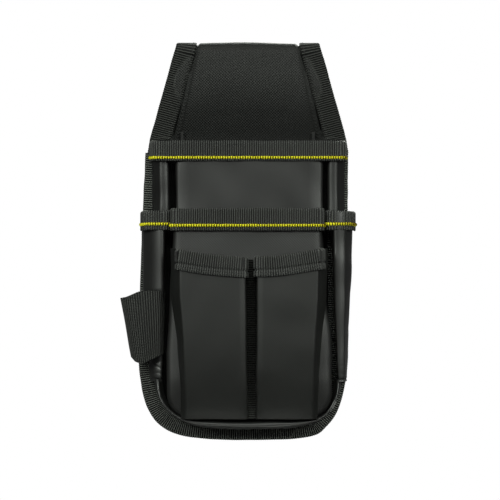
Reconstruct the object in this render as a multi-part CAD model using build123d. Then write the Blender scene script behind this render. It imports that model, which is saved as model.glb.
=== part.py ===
"""Electrician tool pouch: a bound, folded belt hanger above a stiffened back that carries an upper pocket,
a lower pocket, two small front pockets, two tapered side tubes and a webbing tool loop.

Frame: origin at the centre of the belt tunnel, +X to the right as worn, +Y towards the wearer, +Z up.
"Depth" is the distance in front of the lining, towards -Y. All sizes are in millimetres.
"""

from build123d import *
import os

# Sewn layers
FABRIC = 1.6  # pocket walls: coated fabric with its lining
TAPE = 0.85  # one leaf of the edge tape
TAPE_WIDTH = 12.5  # a 25 mm tape folded in half over an edge
GAP = 0.1  # room between two sewn layers
LOOP_WEBBING = 1.4  # thickness of the 50 mm webbing of the tool loop

# Belt tunnel and hanger
BELT_GAP = 8.4  # inside the tunnel, front to back
TUNNEL_TOP = 28.2  # the inside of the top fold
TUNNEL_SEAM = -28.2  # where the rear strap meets the front layer
PANEL = 2.4  # thickness of the folded hanger panel
HANGER_TOP_HALF = 49.6
HANGER_LOW_HALF = 68.0
STRAP_RISE = 3.4  # how much the strap drops on its way from the rear of the tunnel to the seam
STRAP_END = -34.8
FOLD_Z = TUNNEL_TOP - BELT_GAP / 2

# The flexing line between the hanger and the pouch body
FLEX_Y = -(BELT_GAP + PANEL) / 2
FLEX_Z = -36.9
BODY_TOP = -38.5

# Layers of the stiffened back, as Y positions from the rear face forwards
BACK_Y = -BELT_GAP / 2
FRONT_Y = BACK_Y - 4.0
SKIN = 1.1
RIM_SKIN = 0.9
RIM_LAP = 1.2
RIM_WIDTH = TAPE_WIDTH + 0.2

# Outline of the back
EDGE_HALF = 69.7
BASE_Z = -245.0
BASE_CROWN = 1.8
BASE_CORNER = 35.0

# Upper and lower pocket boxes
BOX_HALF_TOP = 51.2
BOX_HALF_LOW = 56.4
BOX_FLARE_TOP = -99.0
BOX_FLARE_LOW = -186.0
BOX_BASE = -231.0
BOX_CORNER = 24.0
UPPER_DEPTH = 15.0
LOWER_DEPTH = 26.0
UPPER_MOUTH = -37.4
LOWER_MOUTH = -84.6
UPPER_BAND_HALF = 68.1
UPPER_BAND_CORNER = 8.0

# Small front pockets
SMALL_DEPTH = 42.0
SMALL_MOUTH_OUTER = -111.7
SMALL_MOUTH_INNER = -118.7
SMALL_BASE = -229.8
SMALL_CORNER = 20.0
# For each: the X of the two sides, at the mouth and at the base, then the two ends of the mouth's line
SMALL_POCKETS = {
    "left": ((-52.0, -46.0, -3.0, -1.6), ((-52.6, SMALL_MOUTH_OUTER), (0.4, SMALL_MOUTH_INNER))),
    "right": ((8.0, 6.6, 53.0, 48.0), ((4.6, SMALL_MOUTH_INNER), (53.6, SMALL_MOUTH_OUTER))),
}

# Side tubes and the folded sides of the upper pocket: X of the middle, half width, depth, corner radius
TUBE_TOP = -86.6
TUBE_BASE = -202.5
TUBE_SECTIONS = ((64.4, 9.8, 24.0, 9.4), (64.4, 4.0, 14.0, 3.8))
PLEAT_TOP = UPPER_MOUTH - TAPE - GAP
PLEAT_BASE = -128.0
PLEAT_SECTIONS = ((59.9, 8.2, 15.0, 8.0), (64.4, 2.6, 4.2, 2.4))

# Yellow stripes woven along the two wide bands
STRIPE_HEIGHT = 2.6
STRIPE_RISE = 0.7
STRIPE_DROP = 9.1  # from the band's top edge to the stripe's top edge
TUBE_STRIPE_DROP = 6.8

# Divider tape between the small pockets
DIVIDER_MIDDLE = 2.5
DIVIDER_WIDTH = 8.0

# Bar tacks, as flat blocks of thread
TACK_WIDTH = 1.4
TACK_RISE = 0.5
POCKET_TACK_LENGTH = 9.0
POCKET_TACKS = ((-49.6, -117.9), (-2.4, -124.5), (7.6, -124.5), (50.6, -117.9))
TUNNEL_TACK_X = 46.0

# Bottom gusset
GUSSET_INSET = 7.4
GUSSET_WALL = 1.4
GUSSET_TAPER = 9.0
GUSSET_TOP = TUBE_BASE - 0.7

# Tool loop, as (X, depth) along the middle of the webbing
LOOP_TOP = -142.6
LOOP_HEIGHT = 50.0
LOOP_UPPER_PATH = ((-55.8, 12.0), (-56.8, 17.2), (-61.4, 21.0), (-70.0, 23.2), (-80.4, 21.4),
                   (-87.6, 14.4), (-86.6, 5.4), (-79.6, -0.6), (-71.6, -2.4))
LOOP_LOWER_PATH = ((-58.0, 9.0), (-58.6, 13.4), (-61.8, 16.8), (-67.2, 18.2), (-74.0, 16.8),
                   (-77.9, 11.2), (-76.8, 4.6), (-74.0, 0.4), (-71.6, -1.6))

FAR = 400.0  # larger than the pouch, for cutting away


def slab(face, y_from, y_to):
    """A plate with the outline `face` in X and Z, between two Y positions, rear one first."""
    return extrude(Plane.XZ.offset(-y_from) * face, amount=y_from - y_to)


def layer(face, depth_from, depth_to):
    """A plate in front of the lining, between two depths."""
    return slab(face, FRONT_Y - depth_from, FRONT_Y - depth_to)


def block(x_from, x_to, y_from, y_to, z_from, z_to):
    """A box between two corners."""
    size = (x_to - x_from, y_to - y_from, z_to - z_from)
    middle = ((x_from + x_to) / 2, (y_from + y_to) / 2, (z_from + z_to) / 2)
    return Pos(*middle) * Box(*size)


def polygon(*points):
    """A flat face with straight edges."""
    return make_face(Polyline(*points, close=True))


def below(face, z_top):
    """The part of a face in X and Z that lies under z_top."""
    return face & (Pos(0, z_top - FAR / 2) * Rectangle(FAR, FAR))


def write(name, shape):
    """Writes one node."""
    export_step(Compound(children=list(shape.solids())) if len(shape.solids()) > 1 else shape.solid(),
                f"parts/{name}.step")


def body_outline(inset, z_top=BODY_TOP):
    """The outline of the back, drawn in by `inset`: straight sides, round lower corners, a crowned base."""
    rise = BASE_Z + BASE_CROWN
    side = Polyline((EDGE_HALF, rise), (EDGE_HALF, 0), (-EDGE_HALF, 0), (-EDGE_HALF, rise))
    base = ThreePointArc((-EDGE_HALF, rise), (0, BASE_Z), (EDGE_HALF, rise))
    face = make_face([side, base])
    face = fillet(face.vertices().sort_by(Axis.Y)[:2], BASE_CORNER)
    if inset:
        face = offset(face, amount=-inset)
    return below(face, z_top)


def box_outline(inset, z_top):
    """The outline of the two pocket boxes: it flares below the lower mouth and has round lower corners."""
    right = ((BOX_HALF_TOP, 0), (BOX_HALF_TOP, BOX_FLARE_TOP),
             (BOX_HALF_LOW, BOX_FLARE_LOW), (BOX_HALF_LOW, BOX_BASE))
    left = tuple((-x, z) for x, z in reversed(right))
    face = polygon(*right, *left)
    face = fillet(face.vertices().sort_by(Axis.Y)[:2], BOX_CORNER)
    if inset:
        face = offset(face, amount=-inset, kind=Kind.INTERSECTION)
    return below(face, z_top)


def tray(outline, depth_from, depth_to, z_top):
    """A pocket's shell: a front wall with side walls and a floor, open at the top and at the back."""
    shell = layer(outline(0, z_top), depth_from, depth_to)
    hollow = layer(outline(FABRIC, z_top), depth_from, depth_to - FABRIC)
    return shell - hollow


def mouth_plan(x_mid, half, depth, radius, grow):
    """In plan, a rounded rectangle round a pocket's mouth, `grow` outside the pocket's wall."""
    rounding = max(radius + grow, 0.3)
    return Pos(x_mid, FRONT_Y) * RectangleRounded(2 * (half + grow), 2 * (depth + grow), rounding)


def in_front(shape, depth):
    """The part of a shape that is more than `depth` in front of the lining."""
    return shape - block(-FAR, FAR, FRONT_Y - depth, FAR, -FAR, FAR)


def upright(face, z_from, z_to):
    """A plan face, standing between two heights."""
    return extrude(Pos(0, 0, z_from) * face, amount=z_to - z_from)


def mouth_band(x_mid, half, depth, radius, z_top, depth_from, inner_half):
    """Tape folded over the edge of a mouth: an outer leaf, a top, and an inner leaf out to inner_half."""
    low = z_top - TAPE_WIDTH

    def plan(grow):
        return mouth_plan(x_mid, half, depth, radius, grow)

    channel = upright(plan(GAP + TAPE) - plan(-FABRIC - GAP - TAPE), low, z_top)
    slot = upright(plan(GAP) - plan(-FABRIC - GAP), low, z_top - TAPE)
    keep = Pos(x_mid, 0) * Rectangle(2 * inner_half, FAR)
    beyond = upright(plan(GAP) - keep, low, z_top - TAPE)
    return in_front(channel - slot - beyond, depth_from)


def stripe(x_mid, half, depth, radius, z_top, depth_from):
    """The yellow stripe on the outside of a mouth band."""
    start = GAP + TAPE + 0.02
    ring = mouth_plan(x_mid, half, depth, radius, start + STRIPE_RISE)
    ring -= mouth_plan(x_mid, half, depth, radius, start)
    top = z_top - STRIPE_DROP
    return in_front(upright(ring, top - STRIPE_HEIGHT, top), depth_from)


def sleeve_section(sections, z_top, z_base, z, grow):
    """The plan of a tapered sleeve at height z, `grow` outside its wall."""
    share = (z_top - z) / (z_top - z_base)
    x_mid, half, depth, radius = (a + (b - a) * share for a, b in zip(*sections))
    return Pos(0, 0, z) * mouth_plan(x_mid, half, depth, radius, grow)


def sleeve_solid(sections, z_top, z_base, z_from, z_to, grow):
    """A solid of the sleeve's outside between two heights."""
    ends = [sleeve_section(sections, z_top, z_base, z, grow) for z in (z_from, z_to)]
    return loft(ends, ruled=True)


def sleeve(sections, z_top, z_base):
    """A tapered sleeve lying against the back, open at the top and closed below."""
    outside = sleeve_solid(sections, z_top, z_base, z_top, z_base, 0)
    inside = sleeve_solid(sections, z_top, z_base, z_top + 1, z_base + 3, -FABRIC)
    return in_front(outside - inside, 0.3)


def sleeve_ring(sections, z_top, z_base, z_from, z_to, grow_from, grow_to):
    """A ring round the outside of a tapered sleeve."""
    outside = sleeve_solid(sections, z_top, z_base, z_from, z_to, grow_to)
    inside = sleeve_solid(sections, z_top, z_base, z_from, z_to, grow_from)
    return in_front(outside - inside, 0.3)


def flat_band(line, depth, inner_ends):
    """Tape folded over the slanting mouth of a small pocket. `line` is its top edge, left end first."""
    (x0, z0), (x1, z1) = line
    leaf = polygon((x0, z0), (x1, z1), (x1, z1 - TAPE_WIDTH), (x0, z0 - TAPE_WIDTH))
    cap = polygon((x0, z0), (x1, z1), (x1, z1 - TAPE), (x0, z0 - TAPE))
    between = Pos(sum(inner_ends) / 2, 0) * Rectangle(inner_ends[1] - inner_ends[0], FAR * 2)
    back = depth - FABRIC - GAP - TAPE
    front = depth + GAP + TAPE
    inner_leaf = layer(leaf & between, back, back + TAPE)
    return layer(leaf, depth + GAP, front) + inner_leaf + layer(cap, back, front)


def webbing_section(points, z):
    """The plan of a curved strip of webbing at height z, from points (X, depth) along its middle."""
    middle = Spline(*[(x, FRONT_Y - d) for x, d in points])
    shares = [i / 9 for i in range(10)]
    sides = []
    for sign in (1, -1):
        side = []
        for u in shares:
            at, along = middle.position_at(u), middle.tangent_at(u)
            out = sign * LOOP_WEBBING / 2
            side.append((at.X - out * along.Y, at.Y + out * along.X))
        sides.append(side)
    outer, inner = Spline(*sides[0]), Spline(*sides[1])
    ends = [Line(outer @ 0, inner @ 0), Line(outer @ 1, inner @ 1)]
    return Pos(0, 0, z) * make_face([outer, inner, *ends])


def hanger_half(z):
    """Half the width of the hanger's front layer at height z, between the flexing line and the fold."""
    share = (z - FLEX_Z) / (FOLD_Z - FLEX_Z)
    return HANGER_LOW_HALF + (HANGER_TOP_HALF - HANGER_LOW_HALF) * share


def side_face(*points):
    """A face in Y and Z, for pieces of constant section along X."""
    return make_face(Polyline(*points, close=True))


def along_x(face, x_from, x_to):
    """A face in Y and Z, extruded between two X positions."""
    return extrude(Plane.YZ.offset(x_from) * face, amount=x_to - x_from)


def fold_ring(inner, outer, x_from, x_to):
    """Half a ring over the top of the tunnel."""
    ring = Circle(outer) - Circle(inner)
    ring = ring & (Pos(0, FAR / 2) * Rectangle(FAR, FAR))
    return along_x(Pos(0, FOLD_Z) * ring, x_from, x_to)


def hanger_panel():
    """One panel folded over the belt: a tapered front layer, the fold, and the strap sewn down behind."""
    inner, outer = BELT_GAP / 2, BELT_GAP / 2 + PANEL
    low_half = hanger_half(FLEX_Z)
    outline = polygon((-low_half, FLEX_Z), (low_half, FLEX_Z),
                      (HANGER_TOP_HALF, FOLD_Z), (-HANGER_TOP_HALF, FOLD_Z))
    front = slab(outline, -inner, -outer)
    half_round = Circle(PANEL / 2) & (Pos(0, -FAR / 2) * Rectangle(FAR, FAR))
    bead = along_x(Pos(FLEX_Y, FLEX_Z) * half_round, -low_half, low_half)
    fold = fold_ring(inner, outer, -HANGER_TOP_HALF, HANGER_TOP_HALF)
    lap = -inner + GAP
    slope = STRAP_RISE / (inner - lap)
    upright_thickness = PANEL * (1 + slope**2) ** 0.5

    def slanting(y, drop=0.0):
        return y, TUNNEL_SEAM + (y - lap) * slope - drop

    strap = side_face((inner, FOLD_Z), (outer, FOLD_Z), slanting(outer, upright_thickness),
                      slanting(lap + PANEL, upright_thickness), (lap + PANEL, STRAP_END), (lap, STRAP_END),
                      slanting(lap), slanting(inner))
    return front + bead + fold + along_x(strap, -HANGER_TOP_HALF, HANGER_TOP_HALF)


def hanger_binding(side):
    """The tape round one edge of the hanger: up the slanting edge, over the fold and down the strap."""
    inner, outer = BELT_GAP / 2 - GAP, BELT_GAP / 2 + PANEL + GAP
    low_z = FLEX_Z + PANEL / 2 + GAP
    low_half = hanger_half(low_z)
    edge, cover = GAP, GAP + TAPE

    def slant(inset_from, inset_to):
        return polygon((low_half - inset_from, low_z), (HANGER_TOP_HALF - inset_from, FOLD_Z),
                       (HANGER_TOP_HALF - inset_to, FOLD_Z), (low_half - inset_to, low_z))

    front = slab(slant(-cover, TAPE_WIDTH), -inner + TAPE, -outer - TAPE)
    front -= slab(slant(-edge, TAPE_WIDTH + 1), -inner, -outer)
    x_out, x_in = HANGER_TOP_HALF + cover, HANGER_TOP_HALF - TAPE_WIDTH
    fold = fold_ring(inner - TAPE, outer + TAPE, x_in, x_out)
    fold -= fold_ring(inner, outer, x_in - 1, HANGER_TOP_HALF + edge)
    strap_low = TUNNEL_SEAM + STRAP_RISE + 1.6
    strap = block(x_in, x_out, inner - TAPE, outer + TAPE, strap_low, FOLD_Z)
    strap -= block(x_in - 1, HANGER_TOP_HALF + edge, inner, outer, strap_low - 1, FOLD_Z + 1)
    whole = front + fold + strap
    return whole if side > 0 else mirror(whole, Plane.YZ)


def back_skin(y_face, y_inner, y_rim, y_rim_inner):
    """A skin of the back: flush with the tape in the middle, stepped in under the tape at the rim."""
    middle = slab(body_outline(RIM_WIDTH), max(y_face, y_inner), min(y_face, y_inner))
    rim = body_outline(0) - body_outline(RIM_WIDTH + RIM_LAP)
    return middle + slab(rim, max(y_rim, y_rim_inner), min(y_rim, y_rim_inner))


def perimeter_binding():
    """The tape folded round the edge of the back."""
    leaf_room = 0.1
    whole = slab(body_outline(-GAP - TAPE), BACK_Y - leaf_room, FRONT_Y + leaf_room)
    whole -= slab(body_outline(RIM_WIDTH - 0.2), BACK_Y + 1, FRONT_Y - 1)
    slot = slab(body_outline(-GAP, 0), BACK_Y - leaf_room - TAPE + GAP, FRONT_Y + leaf_room + TAPE - GAP)
    return whole - slot


def bottom_gusset():
    """The sloping wall round the foot of the pockets, from tube to tube."""
    height = LOWER_DEPTH - 0.4
    start = Plane.XZ.offset(-(FRONT_Y - 0.2))
    outside = extrude(start * body_outline(GUSSET_INSET, 0), amount=height, taper=GUSSET_TAPER)
    inside = extrude(start * body_outline(GUSSET_INSET + GUSSET_WALL, 0), amount=height, taper=GUSSET_TAPER)
    return (outside - inside) - block(-FAR, FAR, -FAR, FAR, GUSSET_TOP, FAR)


def small_pocket(edges, line):
    """One small front pocket: a box under a slanting mouth, open at the top and at the back.

    `edges` are the X of the left side at the mouth and at the base, then of the right side likewise.
    """
    left_top, left_low, right_top, right_low = edges
    top = SMALL_MOUTH_OUTER + 4
    face = polygon((left_top, top), (right_top, top), (right_low, SMALL_BASE), (left_low, SMALL_BASE))
    outer_corner = face.vertices().sort_by(Axis.Y)[:2].sort_by(lambda v: abs(v.X))[-1]
    face = fillet(outer_corner, SMALL_CORNER)
    start = LOWER_DEPTH + 0.2
    shell = layer(face, start, SMALL_DEPTH)
    hollow = offset(face, amount=-FABRIC, kind=Kind.INTERSECTION)
    shell -= layer(hollow, start, SMALL_DEPTH - FABRIC)
    (x0, z0), (x1, z1) = line
    reach = 9.0
    rise = (z1 - z0) / (x1 - x0) * reach
    drop = TAPE + GAP
    above = polygon((x0 - reach, z0 - drop - rise), (x1 + reach, z1 - drop + rise),
                    (x1 + reach, 0), (x0 - reach, 0))
    return shell - layer(above, 0, SMALL_DEPTH + FABRIC)


def pocket_bar_tacks():
    """Dense rows of thread at the ends of the small bands."""
    front = SMALL_DEPTH + GAP + TAPE + 0.02
    tack = Rectangle(TACK_WIDTH, POCKET_TACK_LENGTH)
    return [layer(Pos(x, z) * tack, front, front + TACK_RISE) for x, z in POCKET_TACKS]


def tunnel_bar_tacks():
    """Dense rows of thread at the two ends of the strap's seam."""
    y_face = -BELT_GAP / 2 + GAP + PANEL + 0.02
    z_from, z_to = STRAP_END + 0.4, TUNNEL_SEAM - 2.2
    half = TACK_WIDTH / 2
    return [block(x - half, x + half, y_face, y_face + TACK_RISE, z_from, z_to)
            for x in (-TUNNEL_TACK_X, TUNNEL_TACK_X)]


def build():
    """Builds every node as {name: shape}."""
    nodes = {"hanger_panel": hanger_panel()}
    for name, side in (("left", -1), ("right", 1)):
        nodes[f"hanger_binding_{name}"] = hanger_binding(side)
    nodes["tunnel_bar_tacks"] = Compound(children=tunnel_bar_tacks())

    nodes["back_fabric"] = back_skin(BACK_Y, BACK_Y - SKIN, BACK_Y - RIM_SKIN, BACK_Y - 2 * RIM_SKIN)
    nodes["stiffener_board"] = slab(body_outline(RIM_WIDTH + RIM_LAP + 0.3, BODY_TOP - 1),
                                    BACK_Y - SKIN - GAP, FRONT_Y + SKIN + GAP)
    nodes["back_lining"] = back_skin(FRONT_Y, FRONT_Y + SKIN, FRONT_Y + RIM_SKIN, FRONT_Y + 2 * RIM_SKIN)
    nodes["perimeter_binding"] = perimeter_binding()
    nodes["bottom_gusset"] = bottom_gusset()

    upper = (0, UPPER_BAND_HALF, UPPER_DEPTH, UPPER_BAND_CORNER, UPPER_MOUTH, 0.3)
    inside = BOX_HALF_TOP - FABRIC - GAP
    nodes["upper_pocket_front"] = tray(box_outline, 0.2, UPPER_DEPTH, UPPER_MOUTH - TAPE - GAP)
    nodes["upper_mouth_band"] = mouth_band(*upper, inside)
    nodes["upper_stripe"] = stripe(*upper)
    lower = (0, BOX_HALF_TOP, LOWER_DEPTH, 0.2, LOWER_MOUTH, UPPER_DEPTH + 0.3)
    nodes["lower_pocket_front"] = tray(box_outline, UPPER_DEPTH + 0.2, LOWER_DEPTH,
                                       LOWER_MOUTH - TAPE - GAP)
    nodes["lower_band_centre"] = mouth_band(*lower, inside)
    nodes["lower_stripe_centre"] = stripe(*lower)

    tube = (TUBE_SECTIONS, TUBE_TOP, TUBE_BASE)
    band_grow = GAP + TAPE
    stripe_top = TUBE_TOP - TUBE_STRIPE_DROP
    right_side = {
        "upper_pleat": sleeve(PLEAT_SECTIONS, PLEAT_TOP, PLEAT_BASE),
        "tool_tube": sleeve(*tube),
        "lower_band": sleeve_ring(*tube, TUBE_TOP, TUBE_TOP - TAPE_WIDTH, GAP, band_grow),
        "lower_stripe": sleeve_ring(*tube, stripe_top, stripe_top - STRIPE_HEIGHT, band_grow + 0.02,
                                    band_grow + STRIPE_RISE),
    }
    for name, shape in right_side.items():
        nodes[f"{name}_right"] = shape
        nodes[f"{name}_left"] = mirror(shape, Plane.YZ)

    for name, (edges, line) in SMALL_POCKETS.items():
        nodes[f"small_pocket_{name}"] = small_pocket(edges, line)
        inner_ends = (edges[0] + 2 * FABRIC, edges[2] - 2 * FABRIC)
        nodes[f"small_band_{name}"] = flat_band(line, SMALL_DEPTH, inner_ends)
    divider = Rectangle(DIVIDER_WIDTH, SMALL_MOUTH_INNER - SMALL_BASE)
    divider_centre = Pos(DIVIDER_MIDDLE, (SMALL_MOUTH_INNER + SMALL_BASE) / 2)
    nodes["divider_tape"] = layer(divider_centre * divider, LOWER_DEPTH + GAP, LOWER_DEPTH + GAP + TAPE)
    nodes["pocket_bar_tacks"] = Compound(children=pocket_bar_tacks())

    loop_ends = [webbing_section(LOOP_UPPER_PATH, LOOP_TOP),
                 webbing_section(LOOP_LOWER_PATH, LOOP_TOP - LOOP_HEIGHT)]
    nodes["tool_loop"] = loft(loop_ends, ruled=True)
    return nodes


os.makedirs("parts", exist_ok=True)
for node_name, node_shape in build().items():
    write(node_name, node_shape)
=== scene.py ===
"""Looks of the electrician tool pouch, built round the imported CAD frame.

Lengths in this script are millimetres in the frame's own axes, and make_mesh turns them into metres.
"Depth" is the distance in front of the back's lining, towards -Y.
"""

import math
from types import SimpleNamespace

import bmesh
import bpy
import numpy as np
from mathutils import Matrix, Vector

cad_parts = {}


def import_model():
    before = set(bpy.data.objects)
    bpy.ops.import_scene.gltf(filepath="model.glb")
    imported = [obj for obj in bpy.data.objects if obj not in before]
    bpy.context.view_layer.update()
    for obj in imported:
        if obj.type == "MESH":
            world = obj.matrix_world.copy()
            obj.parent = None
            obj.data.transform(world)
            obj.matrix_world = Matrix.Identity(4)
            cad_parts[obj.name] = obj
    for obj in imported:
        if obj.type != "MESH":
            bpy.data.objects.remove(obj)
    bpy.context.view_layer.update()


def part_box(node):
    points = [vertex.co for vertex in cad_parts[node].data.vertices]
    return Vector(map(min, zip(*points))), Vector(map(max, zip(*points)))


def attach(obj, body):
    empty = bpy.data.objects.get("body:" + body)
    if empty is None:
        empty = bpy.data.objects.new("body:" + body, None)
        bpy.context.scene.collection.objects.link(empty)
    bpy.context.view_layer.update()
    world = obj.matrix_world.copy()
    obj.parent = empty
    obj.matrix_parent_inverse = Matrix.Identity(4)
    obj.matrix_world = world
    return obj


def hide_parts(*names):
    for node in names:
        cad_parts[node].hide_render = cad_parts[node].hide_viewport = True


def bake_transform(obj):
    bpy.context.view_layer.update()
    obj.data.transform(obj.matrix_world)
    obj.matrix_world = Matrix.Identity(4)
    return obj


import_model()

RIB = 1.55  # pitch of the ribs of tape and webbing
TAPE = 0.95  # thickness of one leaf of tape
CLOTH = 1.5  # thickness of a pocket wall
HANGER, BODY = "hanger", "pouch_body"
SIDES = (("left", -1), ("right", 1))  # the names of the sides, and the sign of X there
JOIN_Z = -45.0  # where the hanger's cloth and tapes go over into those of the back


def span(node):
    """A CAD node's box as x0, x1, y0, y1, z0, z1, in millimetres."""
    lo, hi = (np.array(corner) * 1000 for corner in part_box(node))
    return SimpleNamespace(x0=lo[0], x1=hi[0], y0=lo[1], y1=hi[1], z0=lo[2], z1=hi[2])


LINING_Y = span("back_lining").y0
REAR_Y = span("back_fabric").y1
RIM = span("perimeter_binding")
UPPER = span("upper_pocket_front")
LOWER = span("lower_pocket_front")
UPPER_BAND = span("upper_mouth_band")
LOWER_BAND = span("lower_band_centre")
TUBE = span("tool_tube_right")
TUBE_BAND = span("lower_band_right")
SMALL = span("small_pocket_right")
PANEL = span("hanger_panel")


# ---- points and curves

def at(x, depth, z):
    """Points from X, depth in front of the lining, and Z."""
    x, depth, z = np.broadcast_arrays(x, depth, z)
    return np.stack([x, LINING_Y - depth, z], axis=-1).astype(float)


def lengths(points):
    """The distance along a path at each of its points."""
    steps = np.linalg.norm(np.diff(points, axis=0), axis=1)
    return np.concatenate([[0.0], np.cumsum(steps)])


def evenly(points, count):
    """The same path with `count` evenly spaced points."""
    s = lengths(points)
    t = np.linspace(0, s[-1], count)
    return np.stack([np.interp(t, s, points[:, i]) for i in range(points.shape[1])], axis=1)


def smooth(points, count):
    """`count` evenly spaced points on a smooth curve through a few points."""
    p = np.asarray(points, float)
    ends = np.vstack([2 * p[0] - p[1], p, 2 * p[-1] - p[-2]])
    t = np.linspace(0, 1, 20, endpoint=False)[:, None]
    dense = []
    for a, b, c, d in zip(ends, ends[1:], ends[2:], ends[3:]):
        curve = 2 * b + (c - a) * t + (2 * a - 5 * b + 4 * c - d) * t**2 + (3 * b - a - 3 * c + d) * t**3
        dense.append(curve / 2)
    return evenly(np.vstack([*dense, p[-1:]]), count)


def rounded(points, radii, count):
    """`count` evenly spaced points on straight runs joined by arcs, one radius for each inner corner."""
    p = np.asarray(points, float)
    out = [p[0]]
    for before, corner, after, radius in zip(p, p[1:], p[2:], radii):
        a, b = before - corner, after - corner
        room = 0.49 * min(np.linalg.norm(a), np.linalg.norm(b))
        a, b = a / np.linalg.norm(a), b / np.linalg.norm(b)
        half = math.acos(float(np.clip(a @ b, -1, 1))) / 2
        cut = min(radius / math.tan(half), room)
        radius = cut * math.tan(half)
        middle = corner + (a + b) / np.linalg.norm(a + b) * radius / math.sin(half)
        start, end = corner + a * cut - middle, corner + b * cut - middle
        turn = math.pi - 2 * half
        for t in np.linspace(0, 1, 9):
            arm = start * math.sin((1 - t) * turn) + end * math.sin(t * turn)
            out.append(middle + arm / math.sin(turn))
    out.append(p[-1])
    return evenly(np.array(out), count)


def mix(keys, z):
    """The value at height z of a quantity given as (z, value) pairs from the top down."""
    heights = [-k[0] for k in keys]
    return np.interp(-np.asarray(z, float), heights, [k[1] for k in keys])


def ease(t):
    """0 before 0, 1 after 1, and a smooth step between."""
    t = np.clip(t, 0, 1)
    return t * t * (3 - 2 * t)


def unit(v):
    return v / np.maximum(np.linalg.norm(v, axis=-1, keepdims=True), 1e-9)


def heading(path):
    """The direction of travel at each point of a path."""
    return unit(np.gradient(path, axis=0))


def full_turn(count):
    """Angles evenly spaced round a circle."""
    return np.linspace(0, 2 * math.pi, count, endpoint=False)


def rumple(points, amount, wavelength, seed):
    """A soft unevenness: a sum of slow waves over space, one value a point."""
    rng = np.random.default_rng(seed)
    total = np.zeros(points.shape[:-1])
    waves = 9
    for _ in range(waves):
        direction = unit(rng.normal(size=3))
        one_length = wavelength * rng.uniform(0.6, 1.8)
        total += np.sin(points @ direction * 2 * math.pi / one_length + rng.uniform(0, 6.28))
    return total * amount / math.sqrt(waves)


# ---- meshes

def make_mesh(name, points, faces, uv=None):
    """A mesh object from points in millimetres and faces as index rows; uv holds millimetres of cloth."""
    me = bpy.data.meshes.new(name)
    me.from_pydata((np.asarray(points) * 0.001).tolist(), [], faces)
    if uv is not None:
        layer = me.uv_layers.new(name="cloth")
        corners = np.zeros(len(me.loops), int)
        me.loops.foreach_get("vertex_index", corners)
        layer.data.foreach_set("uv", np.asarray(uv)[corners].ravel())
    me.validate()
    me.polygons.foreach_set("use_smooth", [True] * len(me.polygons))
    me.set_sharp_from_angle(angle=math.radians(50))
    obj = bpy.data.objects.new(name, me)
    bpy.context.scene.collection.objects.link(obj)
    return obj


def quads(rows, cols, start=0, around=False, flip=False):
    """Faces of a grid whose points are numbered row by row."""
    index = start + np.arange(rows * cols).reshape(rows, cols)
    if around:
        index = np.hstack([index, index[:, :1]])
    a, b, c, d = index[:-1, :-1], index[1:, :-1], index[1:, 1:], index[:-1, 1:]
    faces = np.stack([a, b, c, d], axis=-1).reshape(-1, 4)
    return (faces[:, ::-1] if flip else faces).tolist()


def cloth_uv(grid):
    """Millimetres of cloth across and down, for each point of a grid."""
    across = np.linalg.norm(np.diff(grid, axis=1), axis=2)
    down = np.linalg.norm(np.diff(grid, axis=0), axis=2)
    u = np.hstack([np.zeros((len(grid), 1)), np.cumsum(across, axis=1)])
    u -= u[:, u.shape[1] // 2, None]
    v = np.vstack([np.zeros((1, grid.shape[1])), np.cumsum(down, axis=0)])
    return np.stack([u, -v], axis=-1)


def outward(grid):
    """The outward direction of a grid that runs left to right and then down, seen from outside."""
    down, across = np.gradient(grid, axis=0), np.gradient(grid, axis=1)
    return unit(np.cross(down, across))


def shell(name, grid, thickness=CLOTH, mirrored=False, uv=None):
    """A closed sheet of cloth: the grid is its outside, left to right and then down.

    `mirrored` swaps left and right.
    """
    inside = grid - outward(grid) * thickness
    rows, cols = grid.shape[:2]
    size = rows * cols
    faces = quads(rows, cols) + quads(rows, cols, size, flip=True)
    index = np.arange(size).reshape(rows, cols)
    border = [*index[0, ::-1], *index[1:, 0], *index[-1, 1:], *index[-2:0:-1, -1]]
    for a, b in zip(border, border[1:] + border[:1]):
        faces.append([int(b), int(a), int(a) + size, int(b) + size])
    uv = (cloth_uv(grid) if uv is None else uv).reshape(-1, 2)
    points = np.vstack([grid.reshape(-1, 3), inside.reshape(-1, 3)])
    if mirrored:
        points = points * [-1, 1, 1]
        faces = [face[::-1] for face in faces]
    return make_mesh(name, points, faces, np.vstack([uv, uv]))


def sweep(name, path, a_dir, b_dir, loop, bulge=None):
    """A closed profile of (a, b) pairs carried along a path; `bulge` moves each of its points outwards."""
    n, k = len(path), len(loop)
    a, b = loop[:, 0], loop[:, 1]
    if bulge is not None:
        tangent = unit(np.roll(loop, -1, 0) - np.roll(loop, 1, 0))
        normal = np.stack([tangent[:, 1], -tangent[:, 0]], axis=1)
        area = (a * np.roll(b, -1) - np.roll(a, -1) * b).sum()
        normal *= 1 if area > 0 else -1
        a = a + bulge * normal[:, 0]
        b = b + bulge * normal[:, 1]
    points = path[:, None] + a[..., None] * a_dir[:, None] + b[..., None] * b_dir[:, None]
    faces = quads(n, k, around=True)
    faces.append(list(range(k)))
    faces.append([(n - 1) * k + i for i in range(k)][::-1])
    u = np.repeat(lengths(path)[:, None], k, axis=1)
    v = np.repeat(lengths(loop)[None], n, axis=0)
    obj = make_mesh(name, points.reshape(-1, 3), faces, np.stack([u, v], -1).reshape(-1, 2))
    face_outwards(obj)
    return obj


def face_outwards(obj):
    """Turns the faces of a closed mesh so that all look out of it."""
    bm = bmesh.new()
    bm.from_mesh(obj.data)
    bmesh.ops.recalc_face_normals(bm, faces=bm.faces)
    bm.to_mesh(obj.data)
    bm.free()


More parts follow.
